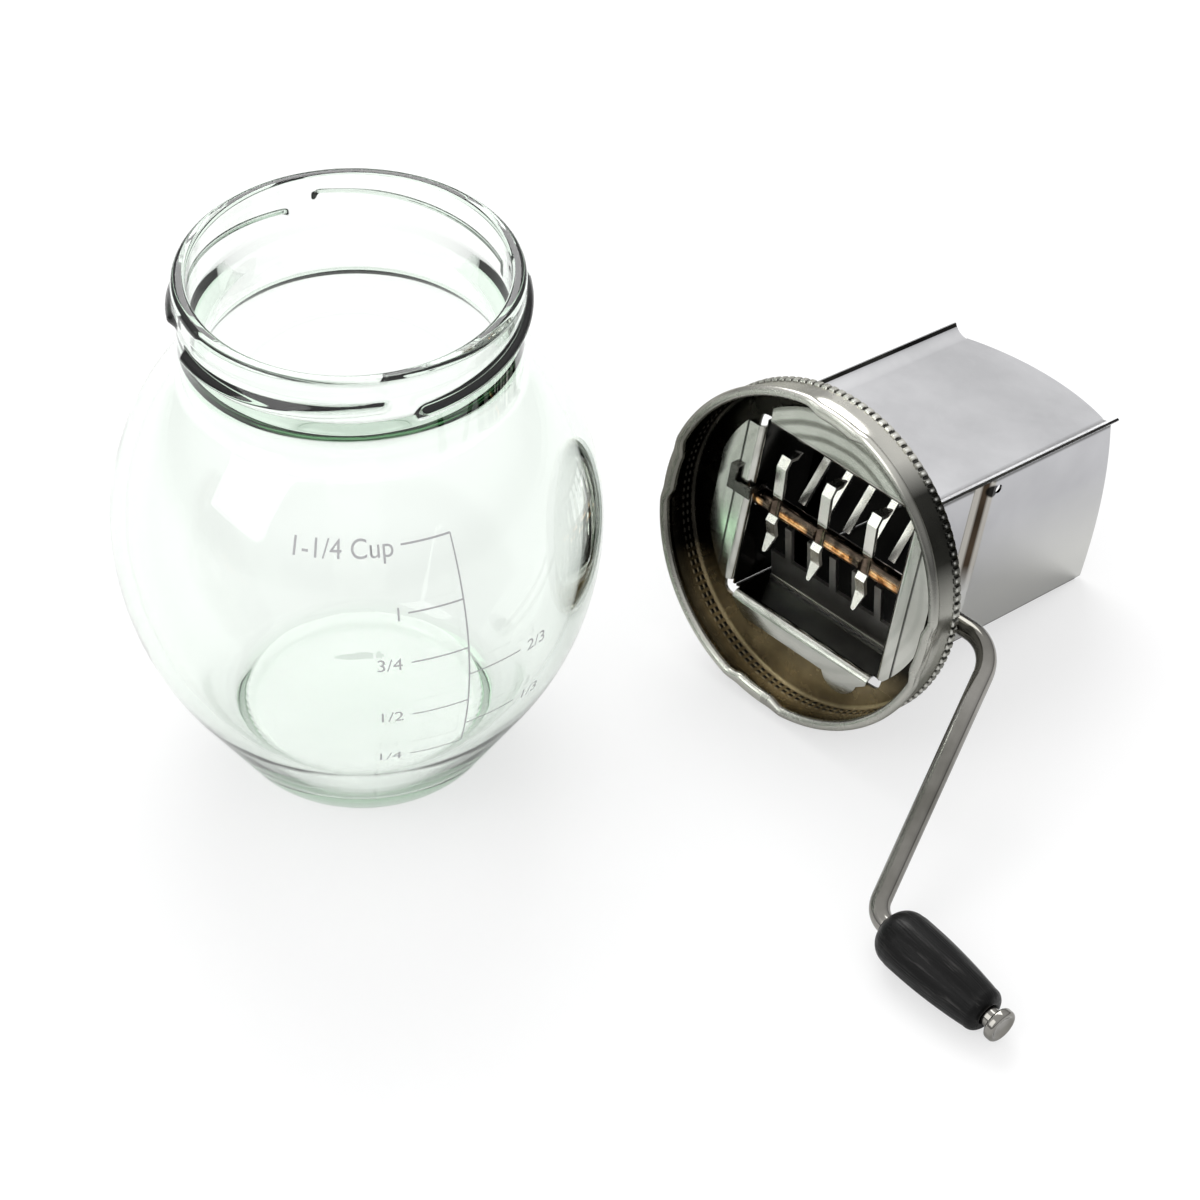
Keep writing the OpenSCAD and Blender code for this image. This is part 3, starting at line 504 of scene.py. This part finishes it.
JAR_H, BELLY_R, BELLY_Z, SHOULDER_R = 106.0, 43.7, 51.6, 48.9
BASE_R, HEEL_R, GLASS_T, BASE_T, PUNT_R, HEEL_TURN = 20.7, 4.5, 2.8, 6.5, 5.0, 30.3
LIP_R, LIP_BAND, NECK_R, LIP_ROUND, NECK_FILLET = 29.9, 3.7, 29.6, 1.3, 4.0
MOUTH_R, MOUTH_DEPTH, THROAT_R, THROAT_DEPTH = 27.3, 8.8, 25.5, 14.8
THREAD_STARTS, THREAD_ARC, THREAD_TILT, THREAD_Z, THREAD_R, THREAD_BEAD = 4, 78, 4.2, 99.2, 31.3, 1.2
HEEL_COS, HEEL_SIN = math.cos(math.radians(HEEL_TURN)), math.sin(math.radians(HEEL_TURN))
FLANK_LINE = BASE_R * HEEL_COS - HEEL_R * HEEL_SIN + HEEL_R
FLANK_R = (FLANK_LINE - BELLY_R * HEEL_COS + BELLY_Z * HEEL_SIN) / (1 - HEEL_COS)
NECK_OFF, FLANK_OFF = BELLY_R - SHOULDER_R, BELLY_R - FLANK_R
FILLET_R = NECK_R + NECK_FILLET
FILLET_Z = BELLY_Z + math.sqrt((SHOULDER_R + NECK_FILLET) ** 2 - (FILLET_R - NECK_OFF) ** 2)
STIPPLES = 72


def jar_outside():
    """The outer profile, from the centre of the base up to the top of the lip."""
    fillet_turn = math.degrees(math.atan2(FILLET_Z - BELLY_Z, FILLET_R - NECK_OFF))
    return (line((0, 0), (BASE_R - 0.5, 0), 8)
            + arc(BASE_R, HEEL_R, HEEL_R, -90, -HEEL_TURN, 14)
            + arc(FLANK_OFF, BELLY_Z, FLANK_R, -HEEL_TURN, 0, 26)
            + arc(NECK_OFF, BELLY_Z, SHOULDER_R, 0, fillet_turn, 30)[1:]
            + arc(FILLET_R, FILLET_Z, NECK_FILLET, 180 + fillet_turn, 180, 8)[1:]
            + line((NECK_R, FILLET_Z + 0.2), (NECK_R, JAR_H - LIP_BAND - 0.35), 76)
            + line((LIP_R, JAR_H - LIP_BAND), (LIP_R, JAR_H - LIP_ROUND), 8)
            + arc(LIP_R - LIP_ROUND, JAR_H - LIP_ROUND, LIP_ROUND, 0, 90, 8)[1:])


def jar_inside():
    """The inner profile, from the lip down to the centre of the hollow's floor."""
    corner = (FLANK_LINE - GLASS_T - PUNT_R + (BASE_T + PUNT_R) * HEEL_SIN) / HEEL_COS
    throat = math.degrees(math.asin((86.0 - BELLY_Z) / (SHOULDER_R - GLASS_T)))
    floor = [(r, BASE_T + 1.6 * math.cos(math.pi / 2 * r / corner) ** 2) for r, _ in
             line((corner, 0), (0, 0), 10)]
    return (arc(MOUTH_R + 0.8, JAR_H - 0.8, 0.8, 90, 180, 6)
            + line((MOUTH_R, JAR_H - 1.4), (MOUTH_R, JAR_H - MOUTH_DEPTH), 8)
            + line((MOUTH_R, JAR_H - MOUTH_DEPTH - 0.4), (THROAT_R, JAR_H - THROAT_DEPTH), 8)
            + [(THROAT_R - 0.15, FILLET_Z + 2), (THROAT_R - 0.1, FILLET_Z + 0.3), (THROAT_R + 0.5, FILLET_Z - 1)]
            + arc(NECK_OFF, BELLY_Z, SHOULDER_R - GLASS_T, throat - 1.5, 0, 24)
            + arc(FLANK_OFF, BELLY_Z, FLANK_R - GLASS_T, 0, -HEEL_TURN, 22)[1:]
            + arc(corner, BASE_T + PUNT_R, PUNT_R, -HEEL_TURN, -90, 10)
            + floor[1:-1] + [(0, BASE_T + 1.6)])


def thread_height(angle, z):
    """How far the four thread ridges stand out at a point of the neck."""
    best = 0.0
    half = math.radians(THREAD_ARC / 2)
    for start in range(THREAD_STARTS):
        off = wrap(angle - math.radians(20 + start * 360 / THREAD_STARTS))
        middle = THREAD_Z + THREAD_R * math.sin(math.radians(THREAD_TILT)) * math.sin(off)
        along = bump(off, half - 0.02, 0.07)
        across = (z - middle) / (THREAD_BEAD * 1.7)
        if along > 0 and abs(across) < 1:
            best = max(best, along * (THREAD_R - NECK_R - 0.3) * math.cos(across * math.pi / 2) ** 2)
    return best


def jar_shape(outer_count):
    seams = (math.radians(-128), math.radians(52))

    def shape(i, angle, r, z):
        if i < outer_count and r > 5:
            if FILLET_Z < z < JAR_H - LIP_BAND - 0.3:
                r += thread_height(angle, z)
            if z < 3.2:
                ring = math.exp(-((z - 0.8) / 0.4) ** 2)
                r += 0.07 * ring * math.sin(angle * STIPPLES)
            for seam in seams:
                r += 0.05 * math.exp(-(wrap(angle - seam) * r / 0.25) ** 2)
        return r, z
    return shape


def build_jar():
    outside, inside = jar_outside(), jar_inside()
    jar = lathe("jar_glass", outside + inside, 720, jar_shape(len(outside)), closed=False)
    assign(jar, glass_material())
    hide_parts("jar")
    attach(jar, "jar")
    return jar


# The printed cup marks

SCALE_TURN = -106.8
LEFT_END, RIGHT_END = -120.3, -93.0
MARKS = (("1/4", 30.7, "left"), ("1/3", 36.4, "right"), ("1/2", 43.2, "left"), ("2/3", 49.7, "right"),
         ("3/4", 55.8, "left"), ("1", 65.5, "left"), ("1-1/4 Cup", 76.6, "left"))
PRINT_LIFT, PRINT_LINE = 0.04, 0.32


def jar_radius(z):
    """The jar's outer radius at a height, from flank to shoulder."""
    if z >= BELLY_Z:
        return NECK_OFF + math.sqrt(SHOULDER_R ** 2 - (z - BELLY_Z) ** 2)
    return FLANK_OFF + math.sqrt(FLANK_R ** 2 - (z - BELLY_Z) ** 2)


def on_jar(turn, z):
    r = (jar_radius(z) + PRINT_LIFT) * MM
    return (r * math.cos(math.radians(turn)), r * math.sin(math.radians(turn)), z * MM)


def ribbon(verts, faces, path, half_turn, half_height):
    """A printed line along path, a list of (turn, height), widened sideways or upwards."""
    base = len(verts)
    for turn, z in path:
        verts.append(on_jar(turn - half_turn, z - half_height))
        verts.append(on_jar(turn + half_turn, z + half_height))
    for i in range(len(path) - 1):
        a = base + 2 * i
        faces.append((a, a + 1, a + 3, a + 2))


def text_outline(words, size):
    curve = bpy.data.curves.new("mark_text", "FONT")
    curve.body = words
    curve.size = size
    curve.resolution_u = 6
    holder = bpy.data.objects.new("mark_text", curve)
    bpy.context.scene.collection.objects.link(holder)
    bpy.context.view_layer.update()
    mesh = bpy.data.meshes.new_from_object(holder.evaluated_get(bpy.context.evaluated_depsgraph_get()))
    points = [(v.co.x, v.co.y) for v in mesh.vertices]
    faces = [tuple(p.vertices) for p in mesh.polygons]
    bpy.data.objects.remove(holder)
    bpy.data.meshes.remove(mesh)
    bpy.data.curves.remove(curve)
    return points, faces


def build_marks():
    verts, faces = [], []
    line_turn = math.degrees(PRINT_LINE / 2 / BELLY_R)
    ribbon(verts, faces, [(SCALE_TURN, z) for _, z in line((0, MARKS[0][1]), (0, MARKS[-1][1]), 60)],
           line_turn, 0)
    for words, height, side in MARKS:
        end = LEFT_END if side == "left" else RIGHT_END
        ribbon(verts, faces, [(turn, height) for turn, _ in line((SCALE_TURN, 0), (end, 0), 18)],
               0, PRINT_LINE / 2)
        size = 4.3 if "Cup" in words else 3.6
        points, polygons = text_outline(words, size)
        width = max(x for x, _ in points)
        base = len(verts)
        for x, y in points:
            across = (x - width if side == "left" else x) / jar_radius(height)
            start = end - 2.0 if side == "left" else end + 2.0
            verts.append(on_jar(start + math.degrees(across), height + y - 0.36 * size))
        faces += [tuple(base + k for k in polygon) for polygon in polygons]
    marks = make_object("cup_marks", verts, faces, smooth=False)
    assign(marks, print_material())
    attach(marks, "jar")


# The cap

SKIRT_R, CAP_T, CAP_H, CAP_ROUND = 32.5, 0.6, 9.2, 1.4
CURL_R, CURL_OUT = 1.0, 33.3
LUG_COUNT, LUG_TURN, LUG_ARC, LUG_IN = 4, 4, 22, 30.3
PANEL_W = CAP_H - (CAP_T + 0.2)
HOLE_FRONT, HOLE_BACK, HOLE_U = FRONT_N + FOLD_R, BACK_N + FOLD_R, SIDE_U + FOLD_R
HOLE_POWER = 26


def hole_radius(angle):
    """Distance from the cap's centre to the edge of its square hole, corners slightly rounded."""
    c, s = math.cos(angle), math.sin(angle)
    reach = HOLE_FRONT if c > 0 else HOLE_BACK
    return (abs(c / reach) ** HOLE_POWER + abs(s / HOLE_U) ** HOLE_POWER) ** (-1 / HOLE_POWER)


def cap_profile():
    """The closed section of the cap: outside up, top inwards, hole's edge, inside back down, and the curl."""
    in_r = SKIRT_R - CAP_T
    outer = arc(CURL_OUT - CURL_R, CURL_R, CURL_R, -60, 78, 14)
    outer += line((SKIRT_R, 2.5), (SKIRT_R, KNURL_LOW - 0.15), 8)
    outer += line((KNURL_R, KNURL_LOW), (KNURL_R, KNURL_HIGH - 0.5), 6)
    outer += arc(SKIRT_R - CAP_ROUND, CAP_H - CAP_ROUND, CAP_ROUND, 30, 90, 8)
    top = [("hole", t, CAP_H) for t in (1.0, 0.75, 0.5, 0.25, 0.03)]
    under = [("hole", t, PANEL_W) for t in (0.03, 0.25, 0.5, 0.75, 1.0)]
    inner = arc(in_r - 0.9, PANEL_W - 0.9, 0.9, 90, 0, 5)
    inner += line((in_r, PANEL_W - 1.0), (in_r, 2.4), 40)
    inner += arc(CURL_OUT - CURL_R, CURL_R, CURL_R, 160, 300 - 12, 12)
    return outer, top, under, inner


def build_cap():
    outer, top, under, inner = cap_profile()
    profile = outer + top + under + inner
    count = len(profile)
    first_inner = len(outer) + len(top) + len(under)
    flat_r = SKIRT_R - CAP_ROUND
    segments = 1440
    verts, faces, inside, grooves, knurl_glints = [], [], [], [], []
    for k in range(segments):
        angle = 2 * math.pi * k / segments
        lug = max(bump(math.degrees(wrap(angle - math.radians(LUG_TURN + i * 360 / LUG_COUNT))),
                       LUG_ARC * 0.30, LUG_ARC * 0.30) for i in range(LUG_COUNT))
        wave = (angle * KNURL_COUNT / (2 * math.pi)) % 1
        groove = 1 - bump(wave - 0.36, 0.28, 0.10)
        dash = bump(wave - 0.5, 0.2, 0.15)
        top = bump(wave - 0.36, 0.03, 0.16)
        for i, point in enumerate(profile):
            if point[0] == "hole":
                edge = hole_radius(angle)
                r, w = edge + (flat_r - edge) * point[1], point[2]
            else:
                r, w = point
            # Painted shade mask: set in the knurls' grooves and in the inner dash rows.
            groove_shade = knurl_glint = 0.0
            if i < len(outer) and KNURL_LOW - 0.01 <= w <= KNURL_HIGH - 0.3 and r > SKIRT_R + 0.2:
                r -= KNURL_DEPTH * groove
                groove_shade = 0.9 * groove
                # Painted highlight mask: the knurls' tops in a span of the ring towards the front panel, and
                # along the knurls' lower edge.
                knurl_glint = top * bump(w - KNURL_LOW - 0.3, 0.15, 0.7) * bump(math.degrees(angle) - 15, 12, 22)
                knurl_glint += 0.55 * top * bump(w - KNURL_LOW, 0.1, 0.5)
            if i >= first_inner and 5.4 < w < 7.8:
                rows = bump(w - 7.2, 0.25, 0.3) + bump(w - 6.0, 0.25, 0.3)
                r -= 0.28 * rows * dash
                groove_shade = rows * dash
            low = bump(w - 0.9, 0.9, 1.8)
            if i >= first_inner:
                r -= 1.15 * lug * low * bump(r - 31.2, 1.3, 1.0)
            elif i < len(outer):
                r -= 0.55 * lug * low
            verts.append((r * math.cos(angle) * MM, r * math.sin(angle) * MM, w * MM))
            curl = i >= count - 11
            inside.append(1.0 if i >= first_inner - len(under) and not curl else 0.0)
            grooves.append(groove_shade)
            knurl_glints.append(knurl_glint)
    for k in range(segments):
        nxt = (k + 1) % segments
        for i in range(count):
            j = (i + 1) % count
            faces.append((k * count + i, nxt * count + i, nxt * count + j, k * count + j))
    cap = make_object("cap_formed", verts, faces, HEAD)
    for kind, values in (("inside", inside), ("groove", grooves), ("knurl_glint", knurl_glints)):
        cap.data.attributes.new(kind, "FLOAT", "POINT").data.foreach_set("value", values)
    sharpen(cap, 38)
    assign(cap, cap_material())
    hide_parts("cap_shell")
    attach(cap, "head")


def sharpen(obj, degrees):
    """Smooth shading with sharp edges where faces meet at more than the given angle."""
    obj.data.polygons.foreach_set("use_smooth", [True] * len(obj.data.polygons))
    obj.data.set_sharp_from_angle(angle=math.radians(degrees))


# Grip and button

GRIP_START, GRIP_LEN, GRIP_R, GRIP_WIDE, GRIP_CURVE = 3.3, 25.2, 5.5, 10.0, 112.0
GRIP_DOME, GRIP_EDGE, GRIP_END_R, WIRE_R, GRIP_SHY = 4.0, 1.9, 4.3, 1.9, 0.01
SPINDLE_LEN, BUTTON_R, BUTTON_T = 32.15, 3.2, 1.9


def grip_radius(z):
    """The grip's long curve."""
    return GRIP_R - GRIP_CURVE + math.sqrt(GRIP_CURVE ** 2 - (z - GRIP_WIDE) ** 2)


def build_grip():
    end = GRIP_START + GRIP_LEN
    dome_r = GRIP_R - GRIP_DOME - 0.15
    profile = [(WIRE_R + 0.08, GRIP_START + 0.25), (WIRE_R + 0.5, GRIP_START)]
    profile += [(r, z) for r, z in arc(dome_r, GRIP_START + GRIP_DOME, GRIP_DOME, -78, 0, 16)]
    profile += [(min(grip_radius(z), GRIP_R) - GRIP_SHY, z) for _, z in
                line((0, GRIP_START + GRIP_DOME + 0.6), (0, end - GRIP_EDGE - 0.4), 40)]
    profile += arc(GRIP_END_R - GRIP_EDGE, end - GRIP_EDGE, GRIP_EDGE, 0, 90, 10)
    profile += [(WIRE_R + 0.3, end), (WIRE_R + 0.08, end - 0.3)]

    def shape(i, angle, r, z):
        pores = math.sin(angle * 37 + 2.0 * math.sin(z * 0.35)) * math.sin(angle * 23 + z * 0.12)
        return r - (0.035 * max(pores, 0) if r > 3 else 0), z

    grip = lathe("grip_turned", profile, 360, shape, SPINDLE)
    assign(grip, wood_material())
    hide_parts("grip")
    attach(grip, "grip")


def build_button(mat):
    low = SPINDLE_LEN - BUTTON_T
    profile = ([(0, low + 0.9), (WIRE_R + 0.02, low + 0.9), (WIRE_R + 0.02, low + 0.1), (WIRE_R + 0.2, low)]
               + arc(BUTTON_R - 0.55, low + 0.55, 0.55, -90, 0, 6)
               + arc(BUTTON_R - 0.6, SPINDLE_LEN - 0.6, 0.6, 0, 110, 8)
               + [(BUTTON_R - 1.2, SPINDLE_LEN - 0.3), (BUTTON_R - 1.6, SPINDLE_LEN - 0.42),
                  (0.8, SPINDLE_LEN - 0.5), (0, SPINDLE_LEN - 0.45)])
    button = lathe("spindle_button_turned", profile, 96, None, SPINDLE, closed=False)
    assign(button, mat)
    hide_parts("spindle_button")
    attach(button, "rotor")


# CAD nodes that stay: finishes only

def dress_nodes():
    sheet = sheet_material()
    wire = wire_material()
    # Painted light and shade: the front comb and blades take a lighter copy of the plate than the rougher back
    # comb, and the shaft stop a near-black copy.
    lit_plate_mat = metal("lit_plate", (0.74, 0.72, 0.67), (0.90, 0.88, 0.82), 0.20, 0.28, dent=0.0001)[0]
    dull_shaded_mat = metal("dull_shaded_plate", (0.34, 0.33, 0.31), (0.56, 0.55, 0.52), 0.30, 0.42, dent=0.0001)[0]
    dark = metal("dark_plate", (0.05, 0.05, 0.045), (0.16, 0.155, 0.14), 0.18, 0.30, dent=0.0001)[0]
    finish = {
        "front_panel": sheet, "back_panel": sheet, "left_panel": sheet, "right_panel": sheet,
        "front_comb": lit_plate_mat, "back_comb": dull_shaded_mat, "shaft_stop": dark,
        "blade_1": lit_plate_mat, "blade_2": lit_plate_mat, "blade_3": lit_plate_mat, "crank_wire": wire,
    }
    for name, mat in finish.items():
        assign(NODES[name], mat)
    return wire


# Stage

def seen_directly(nodes, links):
    """1 for what the camera sees, itself or through the glass."""
    paths = nodes.new("ShaderNodeLightPath")
    return calc(nodes, links, "MAXIMUM", paths.outputs["Is Camera Ray"], paths.outputs["Is Transmission Ray"])


def build_stage():
    verts = [(-3, -3, 0), (3, -3, 0), (3, 3, 0), (-3, 3, 0)]
    floor = make_object("floor", verts, [(0, 1, 2, 3)], smooth=False)
    mat, nodes, links, bsdf = new_material("pale_floor")
    bsdf.inputs["Base Color"].default_value = (0.86, 0.86, 0.86, 1)
    bsdf.inputs["Roughness"].default_value = 0.9
    glow = nodes.new("ShaderNodeEmission")
    glow.inputs["Strength"].default_value = 1.0
    mix = nodes.new("ShaderNodeMixShader")
    links.new(calc(nodes, links, "MULTIPLY", seen_directly(nodes, links), 0.62), mix.inputs["Fac"])
    links.new(bsdf.outputs["BSDF"], mix.inputs[1])
    links.new(glow.outputs["Emission"], mix.inputs[2])
    links.new(mix.outputs["Shader"], nodes["Material Output"].inputs["Surface"])
    assign(floor, mat)


def build_world():
    world = bpy.data.worlds.new("studio")
    bpy.context.scene.world = world
    world.use_nodes = True
    nodes, links = world.node_tree.nodes, world.node_tree.links
    background = nodes["Background"]
    coords = nodes.new("ShaderNodeTexCoord")
    split = nodes.new("ShaderNodeSeparateXYZ")
    links.new(coords.outputs["Generated"], split.inputs["Vector"])
    sky = ramp(nodes, links, split.outputs["Z"], [(0.0, (0.60, 0.60, 0.60)), (0.12, (0.36, 0.36, 0.36)),
                                                   (0.35, (0.80, 0.80, 0.81)), (0.75, (1, 1, 1))])
    paths = nodes.new("ShaderNodeLightPath")
    links.new(blend(nodes, links, paths.outputs["Is Camera Ray"], sky, (1, 1, 1)), background.inputs["Color"])
    background.inputs["Strength"].default_value = 1.0


def area_light(name, place, target, size, power, colour=(1, 1, 1)):
    data = bpy.data.lights.new(name, "AREA")
    data.shape = "RECTANGLE"
    data.size, data.size_y = size
    data.energy = power
    data.color = colour
    light = bpy.data.objects.new(name, data)
    bpy.context.scene.collection.objects.link(light)
    light.location = place
    light.rotation_euler = (Vector(target) - Vector(place)).to_track_quat("-Z", "Y").to_euler()


CAMERA_YAW, CAMERA_PITCH, CAMERA_ROLL = -46.27, 42.79, 1.46
CAMERA_PLACE = (47.886, -523.938, 520.76)
FIT_SCALE = 0.906
FOCAL_PX, FRAME_PX = 3569, 1200


def build_camera():
    """The camera of the photograph, found by fitting jar and head to its outlines."""
    data = bpy.data.cameras.new("camera")
    camera = bpy.data.objects.new("camera", data)
    bpy.context.scene.collection.objects.link(camera)
    bpy.context.scene.camera = camera
    data.sensor_width = 36
    data.lens = 36 * FOCAL_PX / FRAME_PX
    data.clip_start, data.clip_end = 0.01, 20
    data.dof.use_dof = False
    yaw = Matrix.Rotation(math.radians(CAMERA_YAW), 4, "Z")
    tip = Matrix.Rotation(math.radians(90 - CAMERA_PITCH), 4, "X")
    roll = Matrix.Rotation(math.radians(CAMERA_ROLL), 4, "Z")
    place = yaw @ Vector([c * FIT_SCALE * MM for c in CAMERA_PLACE])
    camera.matrix_world = Matrix.Translation(place) @ yaw @ tip @ roll


build_jar()
build_marks()
build_cap()
wire_finish = dress_nodes()
build_grip()
build_button(wire_finish)
for smooth_node in ("front_panel", "back_panel", "left_panel", "right_panel", "front_comb", "back_comb",
                    "crank_wire", "blade_1", "blade_2", "blade_3"):
    sharpen(NODES[smooth_node], 30)
build_stage()
build_world()
area_light("key", (0.5, 0.6, 0.9), (0.05, -0.03, 0.03), (0.8, 0.8), 9)
area_light("fill", (-0.9, 0.2, 0.7), (0.0, 0.0, 0.05), (0.6, 0.9), 4)
build_camera()
bpy.context.scene.view_settings.view_transform = "Standard"
